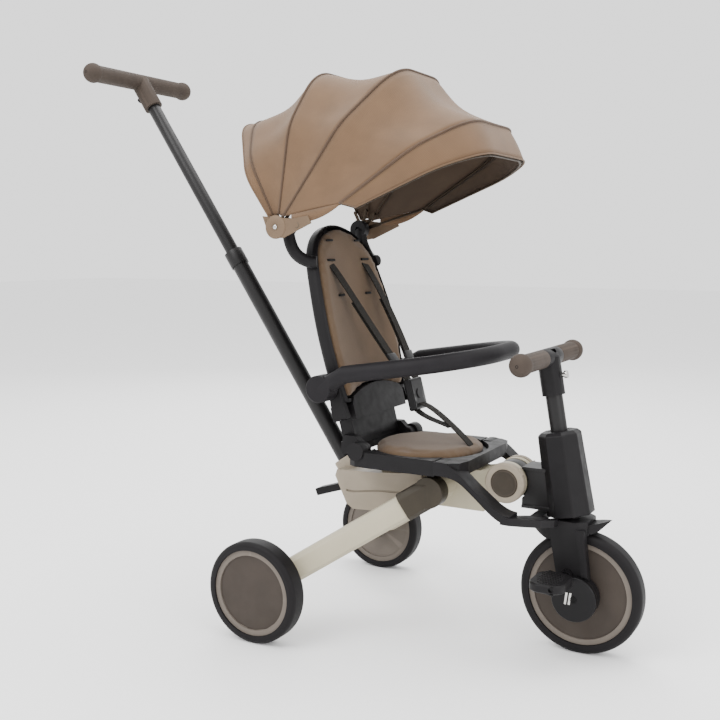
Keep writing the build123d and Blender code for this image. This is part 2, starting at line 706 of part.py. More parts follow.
# ---------------------------------------------------------------- backrest


def back_outline(grow):
    """The outline of the backrest, grown outwards."""
    left = [(u + grow, v - (grow if v == 0 else 0)) for u, v in BACK_SIDE]
    right = [(-u, v) for u, v in reversed(left)]
    top = (0, BACK_TOP + grow)
    edge = Spline(*left, top, *right)
    return make_face(edge + Line(right[-1], left[0]))


def winged(grow, rear, front):
    """A slab of the backrest's outline whose two sides curve forwards like shallow wings."""
    back = [(-WING_HALF, rear + BACK_WING), (0, rear), (WING_HALF, rear + BACK_WING)]
    face = [(WING_HALF, front + BACK_WING), (0, front), (-WING_HALF, front + BACK_WING)]
    section = make_face(
        ThreePointArc(*back) + Line(back[-1], face[0]) + ThreePointArc(*face) + Line(face[-1], back[0])
    )
    head = back_plane().from_local_coords(Vector(0, BACK_TOP + 40, 0))
    slab = extrude(Plane(origin=head, x_dir=(0, 1, 0), z_dir=-back_plane().y_dir) * section, amount=BACK_TOP + 100)
    return slab & extrude(back_plane(rear - 1) * back_outline(grow), amount=front - rear + BACK_WING + 2)


def back_block():
    """The space that the backrest shell fills, before it is hollowed."""
    return winged(BACK_RIM, BACK_FRONT - BACK_DEPTH, BACK_FRONT)


def backrest_shell(bracket):
    """The moulded pan behind the back pad."""
    pan = back_block()
    pan = fillet(pan.faces().sort_by(Axis.X)[0].edges(), 10)
    pan -= winged(BACK_RIM - 6, BACK_FRONT - BACK_DEPTH + BACK_WALL, BACK_FRONT + 10)
    pan -= bracket
    return pan.solids().sort_by(SortBy.VOLUME)[-1]


def backrest_pad(bracket):
    """The padded panel set into the backrest shell, with slots for the harness."""
    pad = winged(0, -PAD_THICK, 0)
    for across, along in PAD_SLOTS:
        for side in (-1, 1):
            pad -= back_plane(-4).location * Pos(side * across, along) * Box(SLOT_WIDE, SLOT_TALL, 24)
    return pad - bracket


def backrest_bracket():
    """The upright post from the recline hinge to the backrest, with ears for the bumper bar."""
    post = extrude(back_plane(-36) * Pos(0, -61) * Rectangle(168, 52), amount=26)
    arms = extrude(back_plane(-22) * Pos(0, -24) * Rectangle(252, 26), amount=16)
    arch = make_face(
        Polyline((-98, -40), (-98, -12), (-90, 0)) + ThreePointArc((-90, 0), (0, 16), (90, 0))
        + Polyline((90, 0), (98, -12), (98, -40), (-98, -40))
    )
    boss = extrude(back_plane(-24) * arch, amount=33)
    bracket = post + arms + boss
    bracket += side_prism([(16, 318), (16, 340), (38, 340), (38, 318)], -BARREL_OUTER, BARREL_OUTER)
    for side in (-1, 1):
        low, high = sorted((side * BARREL_INNER, side * BARREL_OUTER))
        bracket += cross_rod(RECLINE_X, RECLINE_Z, 11.5, low, high)
        bracket += side_prism([(RECLINE_X, 318), (RECLINE_X, 340), (44, 352), (20, 352), (16, 318)], low, high)
        low, high = sorted((side * 112, side * 127))
        ear = side_prism([(16, 384), (45, 388), (34, 415), (28, 441), (-14, 441), (10, 418)], low, high)
        bracket += ear + cross_rod(BUMPER_X, BUMPER_Z, 17, low, high)
        low, high = sorted((side * 112, side * 148))
        bracket += cross_rod(BUMPER_X, BUMPER_Z, 8, low, high)
        low, high = sorted((side * 50, side * 130))
        bracket -= cross_rod(RECLINE_X, RECLINE_Z, RECLINE_PIN_RADIUS + RUNNING_GAP, low, high)
    return bracket


def strap_run(places, wide, thick):
    """A flat webbing strap through a list of points, wide along Y."""
    strap = Part()
    for start, end in zip(places, places[1:]):
        run = end - start
        across = Vector(0, 1, 0) - run.normalized() * run.normalized().Y
        section = Plane(origin=start, x_dir=across, z_dir=run)
        strap += extrude(section * Rectangle(wide, thick), amount=run.length)
    return strap


def shoulder_strap(side, block):
    """One shoulder strap, from its slot in the pad down to the buckle."""
    plane = back_plane(0)
    points = [(side * 63, 246, -6), (side * 63, 245, 9), (side * 26, 60, 58), (side * 12, -4, BUCKLE_DEPTH)]
    places = [plane.from_local_coords(Vector(*p)) for p in points]
    return strap_run(places, STRAP_WIDE, STRAP_THICK) - block


def buckle():
    """The harness buckle, a rounded block with a centre button."""
    place = back_plane(BUCKLE_DEPTH).location
    block = place * Pos(0, BUCKLE_UP, 0) * Box(50, 58, 15)
    block = fillet(block.edges(), 4)
    button = place * Pos(0, BUCKLE_UP, 7) * Cylinder(9, 4)
    return block + button


# ---------------------------------------------------------------- bumper bar


def bumper_bar():
    """The padded U bar, its elbows and the round pivot heads."""
    lift = math.degrees(math.atan2(BUMPER_NOSE[1] - BUMPER_ELBOW[1], BUMPER_NOSE[0] - BUMPER_ELBOW[0]))
    reach = math.hypot(BUMPER_NOSE[0] - BUMPER_ELBOW[0], BUMPER_NOSE[1] - BUMPER_ELBOW[1])
    plane = Plane(origin=(BUMPER_ELBOW[0], 0, BUMPER_ELBOW[1])).rotated((0, -lift, 0))
    path = FilletPolyline(
        (0, BUMPER_HALF), (reach, BUMPER_HALF), (reach, -BUMPER_HALF), (0, -BUMPER_HALF), radius=BUMPER_BEND
    )
    path = plane * path
    bar = sweep(Plane(origin=path @ 0, z_dir=path % 0) * Circle(BUMPER_RADIUS), path=path)
    for side in (-1, 1):
        pivot = (BUMPER_X, side * (BUMPER_HALF - 4), BUMPER_Z)
        elbow = (BUMPER_ELBOW[0], side * BUMPER_HALF, BUMPER_ELBOW[1])
        bar += bar_between(pivot, elbow, BUMPER_RADIUS)
        bar += Pos(*elbow) * Sphere(BUMPER_RADIUS)
        low, high = sorted((side * 129, side * 161))
        head = cross_rod(BUMPER_X, BUMPER_Z, BUMPER_HEAD_RADIUS, low, high)
        bar += chamfer(head.edges().filter_by(GeomType.CIRCLE), 1.5)
        low, high = sorted((side * 110, side * 149))
        bar -= cross_rod(BUMPER_X, BUMPER_Z, 8 + RUNNING_GAP, low, high)
        bar -= Pos(0, side * 100, 450) * Box(300, 56, 300)
    return bar


# ---------------------------------------------------------------- canopy


def arch_plane(angle, base):
    """The plane of a canopy arch: x to the left, y up the arch."""
    sine = math.sin(math.radians(angle))
    cosine = math.cos(math.radians(angle))
    return Plane(origin=(base[0], 0, base[1]), x_dir=(0, 1, 0), z_dir=(cosine, 0, -sine))


def arch_path(half, height, side_share, top_share, start, radius):
    """The line of an arch: straight sides, a bevelled shoulder and a flat top, all rounded."""
    return FilletPolyline(
        (half, start), (half, side_share * height), (top_share * half, height),
        (-top_share * half, height), (-half, side_share * height), (-half, start), radius=radius,
    )


def arch_wire(arch, base, start):
    """A wire bow just inside the fabric."""
    angle, half, height, side_share, top_share = arch
    inset = FABRIC_GAP + FABRIC_THICK
    path = arch_path(half - inset, height - inset, side_share, top_share, start, CORNER_RADIUS)
    path = arch_plane(angle, base) * path
    return sweep(Plane(origin=path @ 0, z_dir=path % 0) * Circle(WIRE_RADIUS), path=path)


def arch_band(arch, base, start):
    """The section of the fabric at one arch, as a thin face."""
    angle, half, height, side_share, top_share = arch
    outer = arch_path(half, height, side_share, top_share, start, CORNER_RADIUS)
    thin = FABRIC_THICK
    inner = arch_path(half - thin, height - thin, side_share, top_share, start, CORNER_RADIUS - FABRIC_THICK)
    ends = Line(outer @ 0, inner @ 0) + Line(outer @ 1, inner @ 1)
    return arch_plane(angle, base) * make_face(outer + inner + ends)


def fabric_panel(*edges):
    """The fabric across two or more arches in turn, as a thin shell clear of the pivots."""
    panel = loft([arch_band(*edge) for edge in edges], ruled=True)
    return panel - cross_rod(CANOPY_X, CANOPY_Z, 22, -180, 180)


def bow(arch, level):
    """A bow: a wire arch whose feet turn in to flat ears on the canopy pivot."""
    angle, half = arch[0], arch[1] - FABRIC_GAP - FABRIC_THICK
    wire = arch_wire(arch, (CANOPY_X, CANOPY_Z), EAR_REACH)
    foot = arch_plane(angle, (CANOPY_X, CANOPY_Z)).from_local_coords(Vector(0, EAR_REACH, 0))
    for side in (-1, 1):
        low, high = sorted((side * level, side * (level + EAR_THICK)))
        ear = cross_rod(CANOPY_X, CANOPY_Z, 12, low, high)
        bar = Pos(CANOPY_X, (low + high) / 2, CANOPY_Z) * Rot(0, angle, 0) * Pos(0, 0, EAR_REACH / 2)
        ear += bar * Box(6, EAR_THICK, EAR_REACH)
        low, high = sorted((side * level, side * half))
        ear += cross_rod(foot.X, foot.Z, WIRE_RADIUS + 0.4, low, high)
        ear += Pos(foot.X, side * half, foot.Z) * Sphere(WIRE_RADIUS + 0.8)
        ear -= cross_rod(CANOPY_X, CANOPY_Z, PIVOT_RADIUS + RUNNING_GAP, -200, 200)
        wire += ear
    return wire


def canopy_visor():
    """The front bow and the visor's rim wire, on one pair of struts from the pivot."""
    inset = FABRIC_GAP + FABRIC_THICK
    frame = arch_wire(VISOR_BOW, VISOR_BOW_BASE, 0) + arch_wire(VISOR_RIM, VISOR_RIM_BASE, 0)
    level = EAR_LEVELS["visor"]
    knee = (CANOPY_X + EAR_REACH, CANOPY_Z + 11)
    for side in (-1, 1):
        low, high = sorted((side * level, side * (level + EAR_THICK)))
        ear = cross_rod(CANOPY_X, CANOPY_Z, 12, low, high)
        ear += side_prism([(CANOPY_X, CANOPY_Z - 3), (CANOPY_X, CANOPY_Z + 5), (knee[0], knee[1] + 3),
                           (knee[0], knee[1] - 3)], low, high)
        ear -= cross_rod(CANOPY_X, CANOPY_Z, PIVOT_RADIUS + RUNNING_GAP, -200, 200)
        start = (knee[0] - 2, side * (level + 1), knee[1])
        middle = (VISOR_BOW_BASE[0], side * (VISOR_BOW[1] - inset), VISOR_BOW_BASE[1])
        end = (VISOR_RIM_BASE[0], side * (VISOR_RIM[1] - inset), VISOR_RIM_BASE[1])
        ear += bar_between(start, middle, WIRE_RADIUS) + bar_between(middle, end, WIRE_RADIUS)
        for corner in (start, middle, end):
            ear += Pos(*corner) * Sphere(WIRE_RADIUS + 0.3)
        frame += ear
    return frame


def canopy_arms():
    """The curved arms that carry the canopy, with their pivot discs and pins."""
    arms = Part()
    for side in (-1, 1):
        line = Spline(*[(x, side * y, z) for x, y, z in ARM_LINE])
        arm = sweep(Plane(origin=line @ 0, z_dir=line % 0) * Circle(ARM_RADIUS), path=line)
        arm += Pos(*(line @ 0)) * Sphere(ARM_RADIUS)
        low, high = sorted((side * 124, side * 142.5))
        arm += cross_rod(CANOPY_X, CANOPY_Z, 17, low, high)
        low, high = sorted((side * 136, side * 166))
        arm += cross_rod(CANOPY_X, CANOPY_Z, PIVOT_RADIUS, low, high)
        low, high = sorted((side * 124, side * 129))
        socket = Pos(CANOPY_X, (low + high) / 2, CANOPY_Z) * Rot(90, 0, 0)
        arm -= socket * extrude(RegularPolygon(5.5, 6), amount=2.5, both=True)
        arms += arm
    return arms - back_block()


def canopy_plates():
    """The beige plates that cover the canopy pivots on the outside."""
    plates = Part()
    for side in (-1, 1):
        low, high = sorted((side * 163.2, side * 166.2))
        plate = side_prism([(-102, 739), (-93, 715), (-76, 701), (-60, 701), (-3, 726), (-9, 739), (-40, 734), (-75, 737)],
                           low, high)
        plate += cross_rod(CANOPY_X, CANOPY_Z, 19, low, high)
        plate -= cross_rod(CANOPY_X, CANOPY_Z, PIVOT_RADIUS, -170, 170)
        plates += plate
    return plates


# ---------------------------------------------------------------- assembly


def build():
    """Every sub-part by name."""
    casing = steering_housing()
    front = front_beam(casing)
    fork_body = fork()
    beam = rear_beam()
    socket = pole_socket()
    bracket = backrest_bracket()
    block = buckle()
    pivot = (CANOPY_X, CANOPY_Z)
    hem = FABRIC_HEM
    parts = {
        "rear_beam": beam,
        "rear_housing": rear_housing(beam, socket),
        "pole_socket": socket,
        "pole_outer_tube": pole_outer_tube(),
        "pole_inner_tube": pole_inner_tube(),
        "push_handle_stem": push_handle_stem(),
        "push_handle_grip": push_handle_grip(),
        "pole_button": pole_button(),
        "hinge_covers": hinge_covers(),
        "right_fold_button": fold_button(-1),
        "left_fold_button": fold_button(1),
        "frame_pins": frame_pins(),
        "rear_lever": rear_lever(),
        "seat_shell": seat_shell(),
        "seat_pad": seat_pad(),
        "crotch_strap": crotch_strap(),
        "front_beam": front,
        "steering_housing": casing,
        "housing_bushes": housing_bushes(),
        "footrest_frame": footrest_frame(casing, front),
        "fork": fork_body,
        "fender": fender(fork_body),
        "stem_tube": stem_tube(),
        "handlebar_tee": handlebar_tee(),
        "handlebar_grips": handlebar_grips(),
        "height_knob": height_knob(),
        "front_axle": front_axle(),
        "crank_hubs": crank_hubs(),
        "backrest_bracket": bracket,
        "backrest_shell": backrest_shell(bracket),
        "backrest_pad": backrest_pad(bracket),
        "shoulder_straps": shoulder_strap(1, block) + shoulder_strap(-1, block),
        "buckle": block,
        "bumper_bar": bumper_bar(),
        "canopy_arms": canopy_arms(),
        "canopy_plates": canopy_plates(),
        "canopy_bow_rear": bow(BOW_REAR, EAR_LEVELS["rear"]),
        "canopy_bow_middle": bow(BOW_MIDDLE, EAR_LEVELS["middle"]),
        "canopy_bow_front": bow(BOW_FRONT, EAR_LEVELS["front"]),
        "canopy_visor": canopy_visor(),
        "canopy_fabric_rear": fabric_panel((REAR_EDGE, pivot, hem), (BOW_REAR, pivot, hem)),
        "canopy_fabric_middle": fabric_panel((BOW_REAR, pivot, hem), (BOW_MIDDLE, pivot, hem)),
        "canopy_fabric_front": fabric_panel((BOW_MIDDLE, pivot, hem), (BOW_FRONT, pivot, hem)),
        "canopy_fabric_visor": fabric_panel(
            (BOW_FRONT, pivot, hem), (VISOR_BOW, VISOR_BOW_BASE, 0), (VISOR_RIM, VISOR_RIM_BASE, 0)
        ),
    }
    parts["front_tyre"] = wheel_tyre(FRONT_RADIUS, FRONT_RING, FRONT_WIDTH, FRONT_X, 0)
    parts["front_disc"] = wheel_disc(FRONT_RADIUS, FRONT_RING, FRONT_WIDTH, FRONT_X, 0, AXLE_RADIUS)
    for name, side in (("right", -1), ("left", 1)):
        tube = leg_tube(side)
        parts[f"{name}_leg_tube"] = tube
        parts[f"{name}_leg_sleeve"] = leg_sleeve(side, tube)
        parts[f"{name}_wheel_boss"] = wheel_boss(side, tube)
        parts[f"{name}_rear_tyre"] = wheel_tyre(REAR_RADIUS, REAR_RING, REAR_WIDTH, REAR_X, side * REAR_Y)
        parts[f"{name}_rear_disc"] = wheel_disc(
            REAR_RADIUS, REAR_RING, REAR_WIDTH, REAR_X, side * REAR_Y, REAR_AXLE_RADIUS + RUNNING_GAP, side
        )
        parts[f"{name}_pedal"] = pedal(side)
    return parts


os.makedirs("parts", exist_ok=True)
for node, shape in build().items():
    export_step(shape, f"parts/{node}.step")
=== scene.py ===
import math

import bmesh
import bpy
from mathutils import Matrix, Vector


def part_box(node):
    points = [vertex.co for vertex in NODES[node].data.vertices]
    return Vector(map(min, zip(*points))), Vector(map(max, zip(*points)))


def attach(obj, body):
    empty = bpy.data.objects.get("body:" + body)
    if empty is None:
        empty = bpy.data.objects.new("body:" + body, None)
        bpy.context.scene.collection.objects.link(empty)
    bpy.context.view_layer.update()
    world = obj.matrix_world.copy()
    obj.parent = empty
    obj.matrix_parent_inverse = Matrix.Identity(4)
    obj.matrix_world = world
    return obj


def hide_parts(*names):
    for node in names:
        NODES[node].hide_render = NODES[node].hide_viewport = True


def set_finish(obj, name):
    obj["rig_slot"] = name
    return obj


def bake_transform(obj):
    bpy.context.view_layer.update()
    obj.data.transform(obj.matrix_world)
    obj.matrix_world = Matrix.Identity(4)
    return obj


# A folding children's tricycle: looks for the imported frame. Lengths are metres.

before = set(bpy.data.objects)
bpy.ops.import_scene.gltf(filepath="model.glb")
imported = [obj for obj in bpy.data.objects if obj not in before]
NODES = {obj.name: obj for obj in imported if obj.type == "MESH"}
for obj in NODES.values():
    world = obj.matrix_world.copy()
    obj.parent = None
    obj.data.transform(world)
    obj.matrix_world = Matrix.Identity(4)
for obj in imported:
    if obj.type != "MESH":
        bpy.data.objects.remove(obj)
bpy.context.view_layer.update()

# Wheels
FRONT_AXLE = Vector((0.432, 0, 0.105))
REAR_AXLE = Vector((-0.077, 0.234, 0.090))
FRONT_RING = 0.089
REAR_RING = 0.0757
RING_WIDTH = 0.0095

# Canopy: arches that fan out from one pivot. Each arch has its angle from upright in degrees,
# half width, height, shares of its two corners, the point it stands on and how far up it starts.
PIVOT = (-0.075, 0.720)
HEM = 0.022
CORNER_RADIUS = 0.092
ARCHES = {
    "rear_edge": (-34.5, 0.169, 0.237, 0.45, 0.45, PIVOT, HEM),
    "rear": (-26.9, 0.157, 0.221, 0.60, 0.55, PIVOT, HEM),
    "middle": (8.2, 0.160, 0.274, 0.64, 0.58, PIVOT, HEM),
    "front": (36.8, 0.163, 0.332, 0.64, 0.58, PIVOT, HEM),
    "visor_bow": (57.5, 0.164, 0.248, 0.66, 0.60, (0.052, 0.758), 0.0),
    "visor_rim": (67.8, 0.154, 0.228, 0.70, 0.66, (0.076, 0.751), 0.0),
}
ARCH_POINTS = 97
GUSSET_TOP = [(-0.044, 0.7412), (0.004, 0.7500), (0.052, 0.758)]
GUSSET_FOOT = [(-0.044, 0.7290), (0.004, 0.7215), (0.052, 0.7555)]
GUSSET_OUT = 0.1626
PIPING_RADIUS = 0.0021
CLOTH_THICK = 0.0012

# Backrest plane
BACK_POINT = Vector((0.029, 0, 0.420))
BACK_LEAN = math.radians(14.4)
BACK_UP = Vector((-math.sin(BACK_LEAN), 0, math.cos(BACK_LEAN)))
BACK_OUT = Vector((math.cos(BACK_LEAN), 0, math.sin(BACK_LEAN)))
STRAP_WIDE = 0.022
STRAP_THICK = 0.0018

# Seat
SEAT_CENTRE = Vector((0.1455, 0, 0.333))

# Harness slots in the back pad: distance from the middle, distance up the pad and width
PAD_SLOTS = ((0.051, 0.285, 0.022), (0.063, 0.248, 0.027), (0.050, 0.183, 0.021))
# The crotch strap and its loop run along these guide points
CROTCH_MAIN = [
    (0.2295, 0, 0.327), (0.2295, 0, 0.341), (0.190, 0, 0.364), (0.160, 0, 0.398), (0.128, 0, 0.405),
]
CROTCH_LOOP = [(0.186, 0, 0.3655), (0.165, 0, 0.374), (0.130, 0, 0.377), (0.112, 0, 0.398)]

# Profiles of the small turned pieces, as (radius, height) pairs
PIVOT_CAP = [
    (0.0205, -0.0012), (0.0205, 0.0004), (0.0190, 0.0016),
    (0.0080, 0.0022), (0.0060, 0.0012), (0.0002, 0.0010),
]
PIVOT_RIVET = [(0.0042, 0.0008), (0.0042, 0.0022), (0.0030, 0.0030), (0.0002, 0.0032)]
HUB_SCREW = [(0.0062, -0.001), (0.0062, 0.0006), (0.0050, 0.0010), (0.0036, 0.0002), (0.0002, 0.0002)]
GRIP_PLUG = [(0.0026, -0.0022), (0.0024, 0.0002), (0.0014, -0.0002), (0.0002, -0.0004)]
BUTTON_DISH = [
    (0.0236, -0.0004), (0.0228, 0.0010), (0.0205, 0.0012),
    (0.0195, 0.0004), (0.0100, 0.0001), (0.0002, 0.0001),
]
HUB_FACE = 0.0500
HUB_BARS = (-0.0125, -0.0060)
HUB_BAR_SIZE = (0.0038, 0.0010, 0.021)
PEDAL_RIBS = 9
HINGE_CENTRE = (0.304, 0.285)
BUTTON_FACE = 0.0415
PLATE_FACE = 0.1662

# Studio
FLOOR_SIZE = 14.0
WORLD_STRENGTH = 1.7
LIGHT_TARGET = Vector((0.15, 0, 0.5))
# Each light: name, place, width and power
LIGHTS = (
    ("key", (-0.9, -2.2, 2.9), 1.9, 80.0),
    ("fill", (2.9, -1.3, 1.6), 2.0, 40.0),
    ("top", (0.2, 0.6, 3.2), 2.2, 80.0),
    ("rim", (-1.6, 2.4, 1.9), 1.6, 30.0),
)
CAMERA_PLACE = (0.89405, -1.60222, 0.68950)
CAMERA_DIP = 6.646
CAMERA_TURN = 29.163
CAMERA_LENS = 49.44


# ---------------------------------------------------------------- shader helpers


def start_material(name, color, rough, **sockets):
    """A principled material with its colour and roughness set, and a dictionary of handy nodes."""
    material = bpy.data.materials.new(name)
    material.use_nodes = True
    nodes = material.node_tree.nodes
    shader = nodes["Principled BSDF"]
    shader.inputs["Base Color"].default_value = (*color, 1)
    shader.inputs["Roughness"].default_value = rough
    for socket, value in sockets.items():
        shader.inputs[socket.replace("_", " ")].default_value = value
    return material, nodes, material.node_tree.links, shader


def coordinates(nodes, kind="Object"):
    """Texture coordinates of one kind."""
    return nodes.new("ShaderNodeTexCoord").outputs[kind]


def noise(nodes, links, place, scale, detail=3.0):
    """A noise texture's value at that many cells per metre."""
    node = nodes.new("ShaderNodeTexNoise")
    node.inputs["Scale"].default_value = scale
    node.inputs["Detail"].default_value = detail
    links.new(place, node.inputs["Vector"])
    return node.outputs["Fac"]


def ramp(nodes, links, value, low, high, colors):
    """Two colours mixed over a stretch of a value."""
    node = nodes.new("ShaderNodeValToRGB")
    first, second = node.color_ramp.elements
    first.position, second.position = low, high
    first.color, second.color = [(*c, 1) for c in colors]
    links.new(value, node.inputs["Fac"])
    return node.outputs["Color"]


def bump(nodes, links, shader, height, strength, distance):
    """A bump on the shader from a height value."""
    node = nodes.new("ShaderNodeBump")
    node.inputs["Strength"].default_value = strength
    node.inputs["Distance"].default_value = distance
    links.new(height, node.inputs["Height"])
    links.new(node.outputs["Normal"], shader.inputs["Normal"])


def shade(color, factor):
    """A colour made lighter or darker."""
    return tuple(min(1.0, c * factor) for c in color)


def mottled(nodes, links, shader, place, color, spread, scale=28.0):
    """Base colour that drifts a little over the surface, with a painted highlight on the proud edges."""
    drift = noise(nodes, links, place, scale, 4.0)
    base = ramp(nodes, links, drift, 0.35, 0.68, (shade(color, 1 - spread), shade(color, 1 + spread)))
    geometry = nodes.new("ShaderNodeNewGeometry")
    # Painted highlight: proud edges, found by pointiness, are mixed towards a lighter copy of the colour.
    edge = ramp(nodes, links, geometry.outputs["Pointiness"], 0.50, 0.62, ((0, 0, 0), (1, 1, 1)))
    mix = nodes.new("ShaderNodeMix")
    mix.data_type = "RGBA"
    links.new(edge, mix.inputs[0])
    links.new(base, mix.inputs[6])
    mix.inputs[7].default_value = (*shade(color, 1.35), 1)
    links.new(mix.outputs[2], shader.inputs["Base Color"])


def uneven_roughness(nodes, links, shader, place, low, high, scale=60.0):
    """Roughness that varies between two values, as handled plastic and paint have."""
    value = noise(nodes, links, place, scale, 5.0)
    spread = nodes.new("ShaderNodeMapRange")
    spread.inputs["From Min"].default_value = 0.3
    spread.inputs["From Max"].default_value = 0.7
    spread.inputs["To Min"].default_value = low
    spread.inputs["To Max"].default_value = high
    links.new(value, spread.inputs["Value"])
    links.new(spread.outputs["Result"], shader.inputs["Roughness"])


# ---------------------------------------------------------------- materials


def moulded_plastic(name, color, low, high, grain=0.10):
    """Moulded plastic with spark-eroded grain and slightly uneven gloss."""
    material, nodes, links, shader = start_material(name, color, high, Specular_IOR_Level=0.16)
    place = coordinates(nodes)
    mottled(nodes, links, shader, place, color, 0.07)
    uneven_roughness(nodes, links, shader, place, low, high)
    bump(nodes, links, shader, noise(nodes, links, place, 1400.0, 2.0), grain, 0.0004)
    return material


def satin_paint(name, color, low, high):
    """Powder coat with fine orange peel, under a thin clear layer."""
    material, nodes, links, shader = start_material(
        name, color, high, Specular_IOR_Level=0.25, Coat_Weight=0.10, Coat_Roughness=0.30
    )
    place = coordinates(nodes)
    mottled(nodes, links, shader, place, color, 0.035, 18.0)
    uneven_roughness(nodes, links, shader, place, low, high, 35.0)
    bump(nodes, links, shader, noise(nodes, links, place, 420.0, 3.0), 0.07, 0.0006)
    return material


def foam_rubber(name, color, rough):
    """Foam rubber with closed pores."""
    material, nodes, links, shader = start_material(name, color, rough, Specular_IOR_Level=0.18)
    place = coordinates(nodes)
    mottled(nodes, links, shader, place, color, 0.12, 40.0)
    pores = nodes.new("ShaderNodeTexVoronoi")
    pores.inputs["Scale"].default_value = 700.0
    links.new(place, pores.inputs["Vector"])
    bump(nodes, links, shader, pores.outputs["Distance"], 0.16, 0.0005)
    return material


def weave_height(nodes, links, place, threads, wander=0.6):
    """The height of a plain weave: two crossing sets of threads, one over the other."""
    bands = []
    for direction in ("X", "Y"):
        wave = nodes.new("ShaderNodeTexWave")
        wave.bands_direction = direction
        wave.inputs["Scale"].default_value = threads
        wave.inputs["Distortion"].default_value = wander
        wave.inputs["Detail"].default_value = 1.0
        links.new(place, wave.inputs["Vector"])
        bands.append(wave.outputs["Fac"])
    join = nodes.new("ShaderNodeMath")
    join.operation = "MULTIPLY"
    links.new(bands[0], join.inputs[0])
    links.new(bands[1], join.inputs[1])
    return join.outputs["Value"]


def cloth(name, color, threads, depth, kind="UV", spread=0.08, sheen=0.12, gap=0.80, wander=0.6):
    """Woven cloth: threads in its bump, painted shade in the gaps between threads, cloudy dye and a soft
    sheen.
    """
    material, nodes, links, shader = start_material(
        name, color, 0.86, Sheen_Weight=sheen, Sheen_Roughness=0.55, Specular_IOR_Level=0.25
    )
    place = coordinates(nodes, kind)
    height = weave_height(nodes, links, place, threads, wander)
    dye = noise(nodes, links, place, 22.0, 5.0)
    cloudy = ramp(nodes, links, dye, 0.34, 0.68, (shade(color, 1 - spread), shade(color, 1 + spread)))
    # Painted shade: the low parts of the weave are darkened to gap times the colour.
    painted_weave_shade = ramp(nodes, links, height, 0.0, 0.6, ((gap, gap, gap), (1, 1, 1)))
    mix = nodes.new("ShaderNodeMix")
    mix.data_type = "RGBA"
    mix.blend_type = "MULTIPLY"
    mix.inputs[0].default_value = 1.0
    links.new(cloudy, mix.inputs[6])
    links.new(painted_weave_shade, mix.inputs[7])
    links.new(mix.outputs[2], shader.inputs["Base Color"])
    bump(nodes, links, shader, height, depth, 0.0006)
    return material


def webbing(name, color):
    """Harness webbing: close ribs across the strap, with painted shade between the ribs and a painted
    highlight on their tops.
    """
    material, nodes, links, shader = start_material(
        name, color, 0.8, Sheen_Weight=0.03, Specular_IOR_Level=0.15
    )
    place = coordinates(nodes, "UV")
    height = weave_height(nodes, links, place, 260.0)
    # Painted shade and highlight: the colour runs from 0.6 to 1.4 times the strap colour with the weave's
    # height.
    base = ramp(nodes, links, height, 0.1, 0.7, (shade(color, 0.6), shade(color, 1.4)))
    links.new(base, shader.inputs["Base Color"])
    bump(nodes, links, shader, height, 0.5, 0.0008)
    return material


def metal(name, color, rough):
    """Bare metal with fine drawn lines."""
    material, nodes, links, shader = start_material(name, color, rough, Metallic=1.0)
    place = coordinates(nodes)
    uneven_roughness(nodes, links, shader, place, rough * 0.7, rough * 1.3, 300.0)
    bump(nodes, links, shader, noise(nodes, links, place, 900.0, 2.0), 0.05, 0.0003)
    return material


M = {
    "black": moulded_plastic("black_plastic", (0.0060, 0.0054, 0.0060), 0.42, 0.56),
    "gloss_black": moulded_plastic("gloss_black_plastic", (0.0050, 0.0046, 0.0051), 0.28, 0.38, 0.04),
    "pole": satin_paint("black_tube_paint", (0.0055, 0.0049, 0.0051), 0.38, 0.50),
    "beige": satin_paint("beige_frame_paint", (0.370, 0.332, 0.240), 0.36, 0.50),
    # Painted shade: beige plastic darkened for the rear housing, pole socket and hinge covers, where shadow
    # falls.
    "beige_painted_shade": moulded_plastic("beige_housing_painted_shade", (0.258, 0.220, 0.170), 0.40, 0.55),
    "sleeve": moulded_plastic("dark_taupe_sleeve", (0.033, 0.027, 0.019), 0.42, 0.56),
    "boss": moulded_plastic("brown_boss", (0.060, 0.050, 0.037), 0.42, 0.56),
    "disc": moulded_plastic("brown_wheel_disc", (0.042, 0.033, 0.027), 0.48, 0.62),
    "ring": moulded_plastic("light_wheel_ring", (0.120, 0.102, 0.086), 0.42, 0.56),
    "button": moulded_plastic("brown_button", (0.040, 0.032, 0.024), 0.42, 0.55),
    "grip": foam_rubber("taupe_grip", (0.045, 0.034, 0.027), 0.72),
    "foam": foam_rubber("bumper_foam", (0.0072, 0.0062, 0.0075), 0.60),
    "tyre": foam_rubber("tyre_rubber", (0.0046, 0.0038, 0.0044), 0.58),
    "canopy": cloth("canopy_cloth", (0.144, 0.084, 0.045), 150.0, 0.30),
    # Painted shade: a darker copy of the canopy cloth for the hood's inner faces, which lie in shadow.
    "canopy_inside_shade": cloth("canopy_inside_painted_shade", (0.070, 0.046, 0.030), 150.0, 0.25),
    "piping": cloth("canopy_piping", (0.078, 0.046, 0.027), 200.0, 0.3, "Object"),
    "pad": cloth("pad_cloth", (0.089, 0.055, 0.030), 330.0, 0.14, "Object", gap=0.94, wander=5.0),
    "webbing": webbing("harness_webbing", (0.0120, 0.0095, 0.0070)),
    "plate": moulded_plastic("canopy_plate", (0.125, 0.085, 0.055), 0.45, 0.60),
    "steel": metal("bright_steel", (0.52, 0.51, 0.49), 0.22),
    "wire": metal("bow_wire", (0.050, 0.038, 0.028), 0.50),
    # Painted shade: near-black for the shade inside slots, recesses, creases and grip ends.
    "dark": moulded_plastic("painted_recess_shade", (0.003, 0.003, 0.003), 0.6, 0.8),
}

